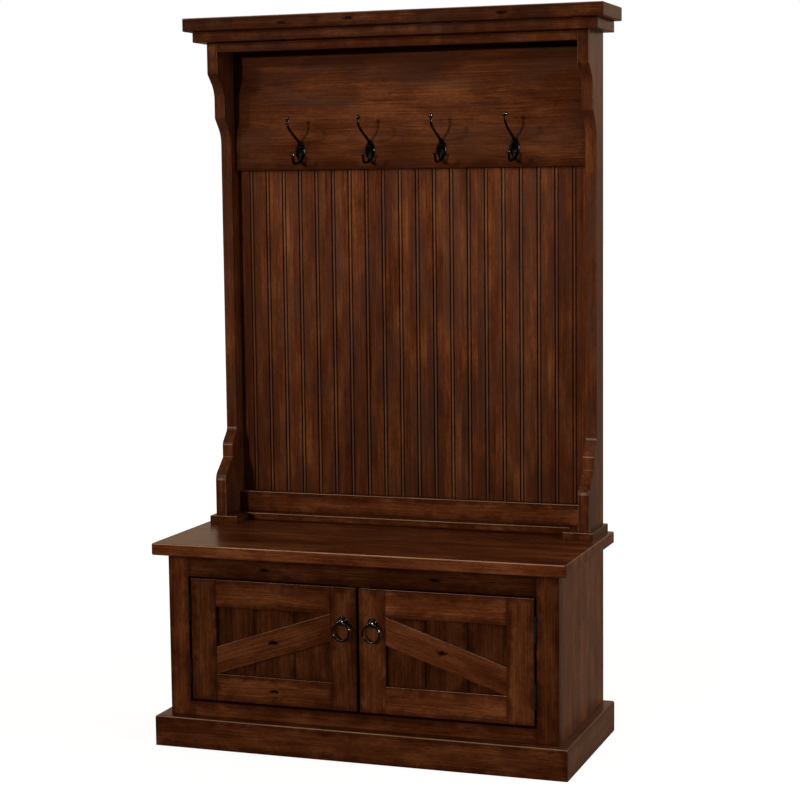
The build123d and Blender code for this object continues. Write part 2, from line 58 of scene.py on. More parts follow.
class Graph:
    """A material's or world's node tree, with short calls that add and link nodes."""

    def __init__(self, tree):
        self.tree = tree

    def feed(self, socket, value):
        if isinstance(value, bpy.types.NodeSocket):
            self.tree.links.new(value, socket)
        else:
            socket.default_value = value

    def add(self, kind, settings=None, **inputs):
        node = self.tree.nodes.new(kind)
        for name, value in (settings or {}).items():
            setattr(node, name, value)
        for name, value in inputs.items():
            self.feed(node.inputs[name.replace("_", " ")], value)
        return node

    def numbered(self, kind, settings, values):
        """A node whose inputs are fed in order, such as Math."""
        node = self.add(kind, settings)
        for socket, value in zip(node.inputs, values):
            self.feed(socket, value)
        return node.outputs[0]

    def math(self, operation, *values):
        return self.numbered("ShaderNodeMath", {"operation": operation}, values)

    def vector(self, operation, *values):
        return self.numbered("ShaderNodeVectorMath", {"operation": operation}, values)

    def parts(self, vector):
        return self.add("ShaderNodeSeparateXYZ", Vector=vector).outputs

    def noise(self, vector, stretch, detail=2.0, roughness=0.5):
        """Noise with its own number of features per metre along each axis."""
        stretched = self.vector("MULTIPLY", vector, stretch)
        node = self.add("ShaderNodeTexNoise", Vector=stretched, Scale=1.0, Detail=detail,
                        Roughness=roughness)
        return node.outputs["Fac"]

    def ramp(self, value, stops):
        """A colour ramp; each stop is (position, (r, g, b))."""
        node = self.add("ShaderNodeValToRGB", Fac=value)
        elements = node.color_ramp.elements
        while len(elements) < len(stops):
            elements.new(0.5)
        for element, (position, colour) in zip(elements, stops):
            element.position = position
            element.color = (*colour, 1)
        return node.outputs[0]

    def span(self, value, low, high, to_low=0.0, to_high=1.0):
        """The value's place between low and high, moved to the range given."""
        return self.numbered("ShaderNodeMapRange", {}, (value, low, high, to_low, to_high))

    def grey(self, value):
        return self.add("ShaderNodeCombineColor", Red=value, Green=value, Blue=value).outputs[0]

    def mix(self, factor, first, second, blend="MIX"):
        node = self.add("ShaderNodeMix", {"data_type": "RGBA", "blend_type": blend})
        for index, value in ((0, factor), (6, first), (7, second)):
            self.feed(node.inputs[index], value)
        return node.outputs[2]

    def bump(self, height, strength, distance):
        node = self.add("ShaderNodeBump", Strength=strength, Distance=distance, Height=height)
        return node.outputs[0]


def new_material(name):
    """A material with its graph and its Principled shader."""
    material = bpy.data.materials.new(name)
    material.use_nodes = True
    tree = material.node_tree
    return material, Graph(tree), tree.nodes["Principled BSDF"]


def dress(node, material):
    """Gives a CAD node its material."""
    slots = nodes[node].data.materials
    slots.clear()
    slots.append(material)


# ---------------------------------------------------------------- wood

GRAIN_TURNS = {                 # rotation that brings the grain's direction onto X
    "X": (0, 0, 0),
    "Y": (0, 0, -math.pi / 2),
    "Z": (0, math.pi / 2, 0),
}
GRAIN_NODES = {                 # boards by the direction their grain runs
    "X": ["base_moulding_front", "frame_rail_top", "frame_rail_bottom", "seat_top",
          "cabinet_floor", "hook_board", "head_rail", "lower_rail", "back_strip",
          "cornice_board", "cornice_cap"],
    "Y": ["base_moulding_left", "base_moulding_right", "hutch_foot_left", "hutch_foot_right"],
    "Z": ["cabinet_side_left", "cabinet_side_right", "cabinet_back", "frame_stile_left",
          "frame_stile_right", "hutch_side_left", "hutch_side_right", "beadboard_panel"],
}
for door in ("door_left", "door_right"):
    GRAIN_NODES["X"] += [f"{door}_top_rail", f"{door}_bottom_rail"]
    GRAIN_NODES["Z"] += [f"{door}_outer_stile", f"{door}_inner_stile"]
    GRAIN_NODES["Z"] += [f"{door}_plank_{index}" for index in (1, 2, 3)]

# Colours of the stain, from its darkest streaks to bare worn wood, with the colours of painted
# highlights, sheen and shade among them.
WOOD_DARK = (0.040, 0.0080, 0.0022)
WOOD_MIDDLE = (0.115, 0.0290, 0.0088)
WOOD_LIGHT = (0.235, 0.0750, 0.0245)
# The next colour is for knots and dark joints, and also for painted shade in the bead grooves and
# under the back strip.
WOOD_KNOT_AND_SHADE = (0.008, 0.0030, 0.0015)
# The next colour is bare worn wood, and also the painted highlight on rounded edges that face up.
WOOD_WORN_AND_HIGHLIT = (0.600, 0.3400, 0.2000)
# The next colour is a painted sheen, greyer than the stain.
WOOD_PAINTED_SHEEN = (0.062, 0.0240, 0.0150)
# The next colour is for painted highlights on the scrolled bends.
WOOD_PAINTED_GLINT = (0.620, 0.4700, 0.3800)
LACQUER_TINT = (1.0, 0.72, 0.50)

BEAD_PITCH = 46.2 * MM
BEAD_CROWN = (2.4 * MM, 1.2 * MM)           # from the bead's middle: paint fades in
GROOVE_INNER = (2.2 * MM, 3.0 * MM)         # the groove's near wall
GROOVE_OUTER = (6.2 * MM, 5.4 * MM)         # the groove's far wall
CROWN_WEAR = 0.06
# how nearly black the grooves are painted, as painted shade
GROOVE_PAINTED_SHADE = 0.96
BEADBOARD_SHADE_HEIGHT = 0.80               # painted shade: the beadboard gets darker below this height
BEADBOARD_FOOT_SHADE = 0.45

KNOT_RADII = (5.5 * MM, 8.5 * MM)           # wholly dark within, no trace beyond
KNOT_STRETCH = 0.72
KNOT_RAGGED = 6 * MM
WEAR_AND_HIGHLIGHT_REACH = (3.4 * MM, 1.4 * MM)           # how near an edge the finish is rubbed and the painted highlight lies
CORNER_WEAR_AND_HIGHLIGHT = 0.30                          # an upright corner's wear and painted highlight beside a level edge's
# strength of the painted highlights on the scrolled bends
BEND_PAINTED_GLINT = 0.27
PAINTED_SHADE_REACH = 130 * MM                        # how far in from the edges the painted shade reaches
PAINTED_SHADE_AMOUNT = 0.55
PAINTED_SHADE_NODES = ["hook_board", "beadboard_panel"]
SMUDGE_REACH = 22 * MM
SMUDGE_WANDER = 60 * MM
SMUDGE_FADE = (10 * MM, -6 * MM)
SMUDGE_AMOUNT = 0.7
PLANK_JOINT = (2.4 * MM, 1.2 * MM)
PLANK_JOINT_AMOUNT = 0.5
STRIP_PAINTED_SHADOW = (5 * MM, 3 * MM)              # painted shadow: a dark line along the foot of the hutch's back strip
# Painted sheen, in grey patches, on the upper boards.
PAINTED_SHEEN_AMOUNT = 0.62
PAINTED_SHEEN_NODES = ["hook_board", "beadboard_panel", "cornice_cap", "cornice_board", "head_rail",
                "hutch_side_left", "hutch_side_right"]

# Some tones hold painted shade: the low boards, doors and recessed planks are darker as if light
# weakened towards the floor, and the top frame rail is darker as a painted shadow under the seat.
TONES_AND_SHADE = {                       # how much lighter or darker than the rest a board is, with painted shade
    "cornice_cap": 0.77,
    "cornice_board": 0.94,
    "head_rail": 1.08,
    "hook_board": 1.00,
    "base_moulding_front": 0.64,
    "frame_rail_top": 0.43,
    "frame_rail_bottom": 0.62,
    "lower_rail": 0.74,
    "back_strip": 0.75,
    "hutch_foot_left": 0.62,
    "hutch_foot_right": 0.62,
    "beadboard_panel": 1.32,
    "hutch_side_right": 0.95,
    "seat_top": 0.98,
    "frame_stile_left": 0.79,
    "frame_stile_right": 0.62,
}
# The doors' tones and the planks' tone include painted shade.
DOOR_TONES_AND_SHADE = {"door_left": 0.56, "door_right": 0.71}
DOOR_PART_TONES = {             # beside the door's own tone and painted shade
    "top_rail": 1.28,
    "bottom_rail": 1.25,
    "brace": 1.12,
    "outer_stile": 1.0,
    "inner_stile": 1.0,
}
PLANK_TONE_AND_SHADE = 0.44
for door, door_tone_and_shade in DOOR_TONES_AND_SHADE.items():
    for part, part_tone in DOOR_PART_TONES.items():
        TONES_AND_SHADE[f"{door}_{part}"] = part_tone * door_tone_and_shade
    for index in (1, 2, 3):
        TONES_AND_SHADE[f"{door}_plank_{index}"] = PLANK_TONE_AND_SHADE

KNOTS = {                       # places as fractions of each board's box
    "cornice_cap": [(0.25, 0, 0.40), (0.41, 0, 0.55), (0.77, 0, 0.50)],
    "frame_rail_top": [(0.23, 0, 0.45), (0.72, 0, 0.45)],
    "door_left_bottom_rail": [(0.50, 0, 0.50)],
    "door_left_brace": [(0.50, 0, 0.52)],
    "door_right_brace": [(0.47, 0, 0.54)],
    "cabinet_side_right": [(1, 0.42, 0.68), (1, 0.52, 0.69)],
}
BRACE_HEIGHT = 69 * MM          # of a brace's upright cut end


def wood_figure(graph, grain):
    """Grain, mottling and flecks, from 0 to 1."""
    waviness = graph.noise(grain, (3, 9, 9), 1.0)
    bend = graph.math("MULTIPLY", waviness, 20 * MM)
    bend_vector = graph.add("ShaderNodeCombineXYZ", Y=bend, Z=bend).outputs[0]
    bent = graph.vector("ADD", grain, bend_vector)
    streaks = graph.noise(bent, (5, 260, 260), 4.0, 0.6)
    bands = graph.noise(bent, (1.6, 26, 26), 3.0, 0.6)
    flecks = graph.noise(bent, (90, 500, 500), 2.0, 0.6)
    mottle = graph.noise(grain, (7, 19, 19), 4.0, 0.65)
    figure = graph.math("MULTIPLY", streaks, 0.22)
    for layer, weight in ((bands, 0.24), (flecks, 0.18), (mottle, 0.36)):
        figure = graph.math("MULTIPLY_ADD", layer, weight, figure)
    return figure, streaks, flecks


def painted_sheen(graph, colour, grain):
    """Painted sheen: patches of greyer colour over the stain, for the lacquer's hazy reflection.
    """
    patches = graph.noise(grain, (5, 16, 16), 5.0, 0.6)
    amount = graph.span(patches, 0.42, 0.60, 0.0, PAINTED_SHEEN_AMOUNT)
    return graph.mix(amount, colour, (*WOOD_PAINTED_SHEEN, 1))


def grain_direction(turn):
    """The grain's direction in the model, from the rotation that brings it onto X."""
    from_x = Matrix.Rotation(-turn[1], 3, "Y") @ Matrix.Rotation(-turn[2], 3, "Z")
    return from_x @ Vector((1, 0, 0))


def knotted(graph, colour, place, centres, along):
    """Dark knots at the given points, drawn out along the grain."""
    spots = None
    stretch = tuple(1 - KNOT_STRETCH * abs(part) for part in along)
    ragged = graph.noise(place, (160, 160, 160), 2.0)
    for centre in centres:
        offset = graph.vector("MULTIPLY", graph.vector("SUBTRACT", place, tuple(centre)), stretch)
        length = graph.add("ShaderNodeVectorMath", {"operation": "LENGTH"})
        graph.feed(length.inputs[0], offset)
        reach = graph.math("MULTIPLY_ADD", ragged, KNOT_RAGGED, length.outputs["Value"])
        spot = graph.span(reach, *KNOT_RADII, 1.0, 0.0)
        spots = spot if spots is None else graph.math("MAXIMUM", spots, spot)
    return graph.mix(spots, colour, (*WOOD_KNOT_AND_SHADE, 1))


def edge_distance(graph, place, low, high):
    """How far a point on a board's surface is from the nearest edge of the board's box."""
    low_gap = graph.vector("SUBTRACT", place, tuple(low))
    high_gap = graph.vector("SUBTRACT", tuple(high), place)
    x_gap, y_gap, z_gap = graph.parts(graph.vector("MINIMUM", low_gap, high_gap))
    larger = graph.math("MAXIMUM", x_gap, y_gap)
    smaller = graph.math("MINIMUM", x_gap, y_gap)
    return graph.math("MAXIMUM", smaller, graph.math("MINIMUM", larger, z_gap))


def arris_wear_and_highlight(graph, ragged, upright):
    """Where the finish is rubbed thin, with painted highlights: level rounded edges that face up,
    and upright corners if asked.
    """
    normal = graph.add("ShaderNodeNewGeometry").outputs["Normal"]
    side, _, tilt = graph.parts(normal)
    lean = graph.math("ABSOLUTE", side)
    rounded = graph.math("MULTIPLY", graph.span(tilt, 0.12, 0.45), graph.span(tilt, 0.97, 0.80))
    rounded = graph.math("MULTIPLY", rounded, graph.span(lean, 0.30, 0.60, 1.0, 0.0))
    if upright:
        corner = graph.math("MULTIPLY", graph.span(lean, 0.2, 0.5), graph.span(lean, 0.97, 0.8))
        corner = graph.math("MULTIPLY", corner, CORNER_WEAR_AND_HIGHLIGHT)
        rounded = graph.math("MAXIMUM", rounded, corner)
    return graph.math("MULTIPLY", rounded, graph.span(ragged, 0.30, 0.60, 0.35, 0.85))


def bend_painted_glints(graph, colour):
    """Painted highlights: pale bands where a scrolled front edge turns a little upward and
    catches the light.
    """
    normal = graph.add("ShaderNodeNewGeometry").outputs["Normal"]
    _, backward, tilt = graph.parts(normal)
    turning = graph.math("MULTIPLY", graph.span(tilt, 0.01, 0.10), graph.span(tilt, 0.30, 0.10))
    glints = graph.math("MULTIPLY", turning, graph.span(backward, -0.80, -0.93))
    glints = graph.math("MULTIPLY", glints, BEND_PAINTED_GLINT)
    return graph.mix(glints, colour, (*WOOD_PAINTED_GLINT, 1))


def bead_lines(graph, x):
    """The crown of each bead and the painted shade in the groove on each side, in front only."""
    normal = graph.add("ShaderNodeNewGeometry").outputs["Normal"]
    front = graph.span(graph.parts(normal)[1], 0.0, -0.1)
    from_bead = graph.math("SUBTRACT", BEAD_PITCH / 2, graph.math("PINGPONG", x, BEAD_PITCH / 2))
    crown = graph.span(from_bead, *BEAD_CROWN)
    inner = graph.span(from_bead, *GROOVE_INNER)
    outer = graph.span(from_bead, *GROOVE_OUTER)
    groove = graph.math("MULTIPLY", inner, outer)
    return graph.math("MULTIPLY", crown, front), graph.math("MULTIPLY", groove, front)


def beaded(graph, colour, place, bottom, chance):
    """The beadboard: a tone for each strip, painted shade that deepens lower down, with crowns
    and painted shade in the grooves.
    """
    x, _, z = graph.parts(place)
    strip_tone = graph.span(chance.outputs["Value"], 0, 1, 0.86, 1.14)
    colour = graph.mix(1.0, colour, graph.grey(strip_tone), "MULTIPLY")
    # Painted shade, deeper towards the beadboard's foot.
    above = graph.math("SUBTRACT", z, bottom)
    shade = graph.span(above, 0, BEADBOARD_SHADE_HEIGHT, BEADBOARD_FOOT_SHADE, 1.0)
    colour = graph.mix(1.0, colour, graph.grey(shade), "MULTIPLY")
    crown, groove = bead_lines(graph, x)
    colour = graph.mix(graph.math("MULTIPLY", crown, CROWN_WEAR), colour, (*WOOD_WORN_AND_HIGHLIT, 1))
    # Painted shade in the grooves.
    return graph.mix(graph.math("MULTIPLY", groove, GROOVE_PAINTED_SHADE), colour, (*WOOD_KNOT_AND_SHADE, 1))


def edge_stain_and_shade(graph, node, colour, place, from_edge):
    """Painted shade near the edges of some boards, darker smudges of stain near every board's
    edges but the seat's, and the dark joints between planks.
    """
    # Painted shade near the edges of the hook board and beadboard.
    if node in PAINTED_SHADE_NODES:
        clouds = graph.noise(place, (9, 9, 9), 3.0, 0.6)
        inward = graph.math("MULTIPLY_ADD", clouds, PAINTED_SHADE_REACH / 2, from_edge)
        painted_shade = graph.span(inward, PAINTED_SHADE_REACH * 1.25, PAINTED_SHADE_REACH * 0.25, 0, PAINTED_SHADE_AMOUNT)
        colour = graph.mix(painted_shade, colour, (*WOOD_DARK, 1))
    if node != "seat_top":
        wander = graph.noise(place, (28, 28, 28), 3.0, 0.6)
        reach = graph.math("MULTIPLY_ADD", wander, -SMUDGE_WANDER,
                           graph.math("ADD", from_edge, SMUDGE_REACH))
        smudges = graph.span(reach, *SMUDGE_FADE, 0, SMUDGE_AMOUNT)
        colour = graph.mix(smudges, colour, (*WOOD_DARK, 1))
    if "plank" in node:
        joint = graph.span(from_edge, *PLANK_JOINT, 0, PLANK_JOINT_AMOUNT)
        colour = graph.mix(joint, colour, (*WOOD_KNOT_AND_SHADE, 1))
    return colour


def lacquer(graph, shader, streaks, flecks):
    """A satin lacquer with the grain showing faintly in it."""
    graph.feed(shader.inputs["Roughness"], graph.span(streaks, 0.35, 0.65, 0.22, 0.32))
    height = graph.math("MULTIPLY_ADD", flecks, 0.4, streaks)
    graph.feed(shader.inputs["Normal"], graph.bump(height, 0.14, 0.4 * MM))
    shader.inputs["IOR"].default_value = 1.45
    shader.inputs["Specular IOR Level"].default_value = 0.22
    shader.inputs["Specular Tint"].default_value = (*LACQUER_TINT, 1)


def wood_material(node, turn, seed, box_edges=True):
    """Stained, lacquered wood for one board. turn brings the grain onto X."""
    material, graph, shader = new_material(f"wood_{node}")
    low, high = (Vector(corner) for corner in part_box(node))
    beads = node == "beadboard_panel"
    place = graph.add("ShaderNodeTexCoord").outputs["Object"]
    figure_place = place
    if beads:
        strip = graph.math("FLOOR", graph.math("DIVIDE", graph.parts(place)[0], BEAD_PITCH))
        chance = graph.add("ShaderNodeTexWhiteNoise", {"noise_dimensions": "1D"}, W=strip)
        shift = graph.vector("MULTIPLY", chance.outputs["Color"], (3, 3, 3))
        figure_place = graph.vector("ADD", place, shift)
    turned_place = graph.add("ShaderNodeMapping", Vector=figure_place)
    turned_place.inputs["Rotation"].default_value = turn
    turned_place.inputs["Location"].default_value = (1.7 * seed, 0.9 * seed, 2.3 * seed)
    grain = turned_place.outputs[0]

    figure, streaks, flecks = wood_figure(graph, grain)
    colour = graph.ramp(figure, [(0.38, WOOD_DARK), (0.50, WOOD_MIDDLE), (0.63, WOOD_LIGHT)])
    # Painted sheen on the upper boards.
    if node in PAINTED_SHEEN_NODES:
        colour = painted_sheen(graph, colour, grain)
    # Painted highlights on the bends of the scrolled front edges.
    if node.startswith("hutch_side"):
        colour = bend_painted_glints(graph, colour)
    # Painted shadow at the foot of the back strip.
    if node == "back_strip":
        above = graph.math("SUBTRACT", graph.parts(place)[2], low.z)
        colour = graph.mix(graph.span(above, *STRIP_PAINTED_SHADOW), colour, (*WOOD_KNOT_AND_SHADE, 1))
    if beads:
        colour = beaded(graph, colour, place, low.z, chance)
    if node in KNOTS:
        size = high - low
        centres = [low + Vector([size[i] * part[i] for i in range(3)]) for part in KNOTS[node]]
        colour = knotted(graph, colour, place, centres, grain_direction(turn))
    # Worn edges, with painted highlights on the rounded edges that face up.
    wear_and_highlight = arris_wear_and_highlight(graph, streaks, node.startswith("hutch_side"))
    if box_edges:
        from_edge = edge_distance(graph, place, low, high)
        wear_and_highlight = graph.math("MULTIPLY", wear_and_highlight, graph.span(from_edge, *WEAR_AND_HIGHLIGHT_REACH))
        colour = edge_stain_and_shade(graph, node, colour, place, from_edge)
    colour = graph.mix(wear_and_highlight, colour, (*WOOD_WORN_AND_HIGHLIT, 1))
    # The board's tone, with painted shade on some boards.
    tone_and_shade = TONES_AND_SHADE.get(node, 1.0)
    toned_and_shaded = graph.mix(1.0, colour, (tone_and_shade, tone_and_shade, tone_and_shade, 1), "MULTIPLY")
    graph.feed(shader.inputs["Base Color"], toned_and_shaded)
    lacquer(graph, shader, streaks, flecks)
    dress(node, material)


def dress_wood():
    seed = 1
    for axis, names in GRAIN_NODES.items():
        for node in names:
            wood_material(node, GRAIN_TURNS[axis], seed)
            seed += 1
    for door, lean in (("door_left", 1), ("door_right", -1)):
        node = f"{door}_brace"
        low, high = (Vector(corner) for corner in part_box(node))
        slope = math.atan2(high.z - low.z - BRACE_HEIGHT, high.x - low.x)
        wood_material(node, (0, lean * slope, 0), seed, box_edges=False)
        seed += 1


dress_wood()


# ---------------------------------------------------------------- metal

def metal_material(name, dark, light, rough, metallic, grain_size=1.1 * MM):
    """Cast or painted metal, a little uneven in colour and gloss."""
    material, graph, shader = new_material(name)
    place = graph.add("ShaderNodeTexCoord").outputs["Object"]
    pitch = 1 / grain_size
    cast = graph.noise(place, (pitch, pitch, pitch), 3.0, 0.6)
    patches = graph.noise(place, (140, 140, 140), 2.0, 0.5)
    graph.feed(shader.inputs["Base Color"], graph.ramp(patches, [(0.35, dark), (0.65, light)]))
    graph.feed(shader.inputs["Roughness"], graph.span(patches, 0.3, 0.7, rough, rough + 0.12))
    graph.feed(shader.inputs["Normal"], graph.bump(cast, 0.18, 0.0003))
    shader.inputs["Metallic"].default_value = metallic
    return material


iron = metal_material("dark_iron", (0.040, 0.039, 0.038), (0.085, 0.082, 0.079), 0.18, 1.0)
rubbed_iron = metal_material("rubbed_iron", (0.20, 0.195, 0.19), (0.34, 0.335, 0.33), 0.13, 1.0)
hinge_steel = metal_material("black_hinge_steel", (0.008, 0.009, 0.008),
                             (0.016, 0.017, 0.016), 0.38, 0.3)
screw_steel = metal_material("black_screws", (0.012, 0.011, 0.010), (0.035, 0.032, 0.030),
                             0.30, 0.7)
zinc = metal_material("zinc_steel", (0.42, 0.42, 0.43), (0.62, 0.62, 0.62), 0.28, 1.0)
catch_plastic = metal_material("catch_plastic", (0.045, 0.022, 0.012),
                               (0.060, 0.030, 0.017), 0.45, 0.0)


def dress_metal():
    finishes = {"dark_iron": iron, "black_hinge_steel": hinge_steel,
                "black_screws": screw_steel, "zinc_steel": zinc,
                "catch_plastic": catch_plastic}
    for part in frame["record"]["subparts"]:
        if part["material_slot"] in finishes:
            dress(part["node"], finishes[part["material_slot"]])


dress_metal()


# ---------------------------------------------------------------- mesh helpers

def skin(shape, rings, round_again=False):
    """Faces between rings of points; the ends are closed, or joined to each other."""
    loops = [[shape.verts.new(point) for point in ring] for ring in rings]
    pairs = list(zip(loops, loops[1:]))
    if round_again:
        pairs.append((loops[-1], loops[0]))
    for first, second in pairs:
        count = len(first)
        for index in range(count):
            after = (index + 1) % count
            shape.faces.new((first[index], first[after], second[after], second[index]))
    if not round_again:
        shape.faces.new(list(reversed(loops[0])))
        shape.faces.new(loops[-1])


def circle(centre, first, second, radius, sides):
    """Points of a circle about centre, in the plane of two unit vectors."""
    points = []
    for index in range(sides):
        angle = 2 * math.pi * index / sides
        points.append(centre + radius * (math.cos(angle) * first + math.sin(angle) * second))
    return points


def smoothed(points, rounds=4):
    """Corner cutting: a smooth line that keeps the first and last points."""
    for _ in range(rounds):
        cut = [points[0]]
        for start, end in zip(points, points[1:]):
            cut += [start.lerp(end, 0.25), start.lerp(end, 0.75)]
        cut.append(points[-1])
        points = cut
    return points


def prong(shape, stations, sides=24):
    """A tapered bar in the plane x = 0. Each station is (out, rise, radius) in millimetres."""
    line = smoothed([Vector(station) for station in stations])
    rings = []
    for index, station in enumerate(line):
        before = line[max(index - 1, 0)]
        after = line[min(index + 1, len(line) - 1)]
        tangent = Vector((0, before.x - after.x, after.y - before.y)).normalized()
        centre = Vector((0, -station.x, station.y)) * MM
        across = Vector((1, 0, 0))
        rings.append(circle(centre, across, tangent.cross(across), station.z * MM, sides))
    skin(shape, rings)


def turned(shape, centre, profile, sides=64):
    """A turned shape standing out towards -Y. The profile is (radius, height) in millimetres."""
    right, up = Vector((1, 0, 0)), Vector((0, 0, 1))
    rings = []
    for radius, height in profile:
        middle = centre - Vector((0, height * MM, 0))
        rings.append(circle(middle, right, up, radius * MM, sides))
    skin(shape, rings)


def rub(verts):
    """Marks the faces around these points as worn bright by hands."""
    for vert in verts:
        for face in vert.link_faces:
            face.material_index = 1


def hardware(name, shape, body, *replaced):
    """Makes a smooth-shaded iron piece that rides on a body and stands for CAD nodes."""
    bmesh.ops.recalc_face_normals(shape, faces=shape.faces)
    mesh = bpy.data.meshes.new(name)
    shape.to_mesh(mesh)
    shape.free()
    mesh.polygons.foreach_set("use_smooth", [True] * len(mesh.polygons))
    mesh.materials.append(iron)
    mesh.materials.append(rubbed_iron)
    piece = bpy.data.objects.new(name, mesh)
    scene.collection.objects.link(piece)
    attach(piece, body)
    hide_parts(*replaced)


# ---------------------------------------------------------------- coat hooks

PLATE_WIDTH = 28 * MM
PLATE_LENGTH = 54 * MM
HOOK_TOP = 88 * MM              # the top of the upper ball above the plate's middle
# Section of the plate from its middle to its rim: fraction of the way, millimetres high.
PLATE_SECTION = [(0.04, 2.5), (0.20, 2.5), (0.31, 2.8), (0.42, 3.4), (0.54, 3.9), (0.64, 4.0),
                 (0.75, 3.9), (0.85, 3.4), (0.93, 2.5), (0.98, 1.5), (1.0, 0.8), (1.0, 0.0)]
# The prongs: millimetres out from the board, up from the plate's middle, and radius.
UPPER_STATIONS = [(1, 15, 4.6), (7, 22.5, 4.4), (12, 26, 3.9), (36, 36.5, 3.5), (64, 49, 3.2),
                  (76, 57.5, 3.1), (85, 64, 3.0), (85, 73, 2.8), (85, 82, 2.8)]
LOWER_STATIONS = [(1, -9, 4.6), (6, -22, 4.4), (11, -28.5, 4.0), (20, -30.3, 3.8),
                  (38, -31.5, 3.6), (47, -31.5, 3.6), (51, -21, 3.3), (56, -10, 3.0)]
UPPER_BALL = (85, 82, 6.0)
LOWER_BALL = (56, -10, 5.2)


def leaf_radius(angle):
    """From the middle of the leaf-shaped plate to its rim: two equal arcs meeting in points."""
    half_width, half_length = PLATE_WIDTH / 2, PLATE_LENGTH / 2
    bulge = (half_length ** 2 + half_width ** 2) / (2 * half_width)
    offset = bulge - half_width
    across, along = abs(math.cos(angle)), math.sin(angle)
    return math.sqrt(bulge ** 2 - (offset * along) ** 2) - offset * across


def leaf_plate(shape, sides=96):
    """The leaf-shaped plate, swelling towards its rim, with its flat back on the board."""
    rings = []
    for fraction, height in PLATE_SECTION:
        ring = []
        for index in range(sides):
            angle = 2 * math.pi * index / sides
            reach = fraction * leaf_radius(angle)
            ring.append(Vector((reach * math.cos(angle), -height * MM, reach * math.sin(angle))))
        rings.append(ring)
    skin(shape, rings)


def ball(shape, station):
    """The worn ball at the end of a prong."""
    out, rise, radius = (value * MM for value in station)
    made = bmesh.ops.create_uvsphere(shape, u_segments=32, v_segments=20, radius=radius,
                                     matrix=Matrix.Translation((0, -out, rise)))
    rub(made["verts"])


def make_hook(number):
    """One coat hook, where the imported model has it."""
    shape = bmesh.new()
    leaf_plate(shape)
    prong(shape, UPPER_STATIONS)
    prong(shape, LOWER_STATIONS)
    ball(shape, UPPER_BALL)
    ball(shape, LOWER_BALL)
    low, high = (Vector(corner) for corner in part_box(f"coat_hook_{number}"))
    place = Vector(((low.x + high.x) / 2, high.y, high.z - HOOK_TOP))
    bmesh.ops.translate(shape, verts=shape.verts, vec=place)
    hardware(f"hook_{number}", shape, "case", f"coat_hook_{number}")


for number in (1, 2, 3, 4):
    make_hook(number)


# ---------------------------------------------------------------- ring pulls

KNOB_REACH = 21 * MM            # the knob's front from the door's face
KNOB_RADIUS = 9.5 * MM
EYE_HALF_WIDTH = 3.5 * MM
POCKET_RADIUS = 6.3 * MM        # room for the ring's wire beside the eye
RING_STEPS = 96
WIRE_SIDES = 24
# Section of the turned base: radius and height in millimetres.
ROSETTE_SECTION = [(12.5, 0), (12.5, 0.7), (12.2, 1.2), (11.5, 1.5), (10.8, 1.45), (10.3, 1.7),
                   (9.6, 2.6), (8.6, 3.3), (7.4, 3.9), (6.6, 4.6), (6.1, 5.6), (5.9, 7.5)]


def make_rosette(side, ring_pivot):
    """A turned base with a ball on it. The ring's pockets are pressed into the ball's sides."""
    low, high = (Vector(corner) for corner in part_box(f"pull_rosette_{side}"))
    centre = Vector(((low.x + high.x) / 2, low.y + KNOB_REACH, (low.z + high.z) / 2))
    shape = bmesh.new()
    turned(shape, centre, ROSETTE_SECTION)
    middle = Vector((centre.x, low.y + KNOB_RADIUS, centre.z))
    lie_along_x = Matrix.Translation(middle) @ Matrix.Rotation(math.pi / 2, 4, "Y")
    knob = bmesh.ops.create_uvsphere(shape, u_segments=48, v_segments=56, radius=KNOB_RADIUS,
                                     matrix=lie_along_x)
    for vert in knob["verts"]:
        beside = abs(vert.co.x - ring_pivot.x) > EYE_HALF_WIDTH
        from_pivot = Vector((0, vert.co.y - ring_pivot.y, vert.co.z - ring_pivot.z))
        if beside and from_pivot.length < POCKET_RADIUS:
            pushed = from_pivot.normalized() * POCKET_RADIUS
            vert.co.y = ring_pivot.y + pushed.y
            vert.co.z = ring_pivot.z + pushed.z
    rub(knob["verts"])
    hardware(f"rosette_{side}", shape, f"door_{side}", f"pull_rosette_{side}")


def make_ring(side):
    """The ring, a round wire bent to a circle. Returns its pivot, at the top of the wire."""
    low, high = (Vector(corner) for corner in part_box(f"pull_ring_{side}"))
    centre = (low + high) / 2
    wire = (high.y - low.y) / 2
    radius = (high.x - low.x) / 2 - wire
    forward = Vector((0, -1, 0))
    shape = bmesh.new()
    rings = []
    for index in range(RING_STEPS):
        angle = 2 * math.pi * index / RING_STEPS
        outward = Vector((math.cos(angle), 0, math.sin(angle)))
        rings.append(circle(centre + radius * outward, outward, forward, wire, WIRE_SIDES))
    skin(shape, rings, round_again=True)
    rub(shape.verts)
    hardware(f"ring_{side}", shape, f"ring_{side}", f"pull_ring_{side}")
    return centre + Vector((0, 0, radius))


for side in ("left", "right"):
    make_rosette(side, make_ring(side))


# ---------------------------------------------------------------- stage, light, camera

FLOOR_HALF = 40
FLOOR_GLOW = (1.0, 4.0, 0.91, 1.0)          # nearly white near the object, white further out


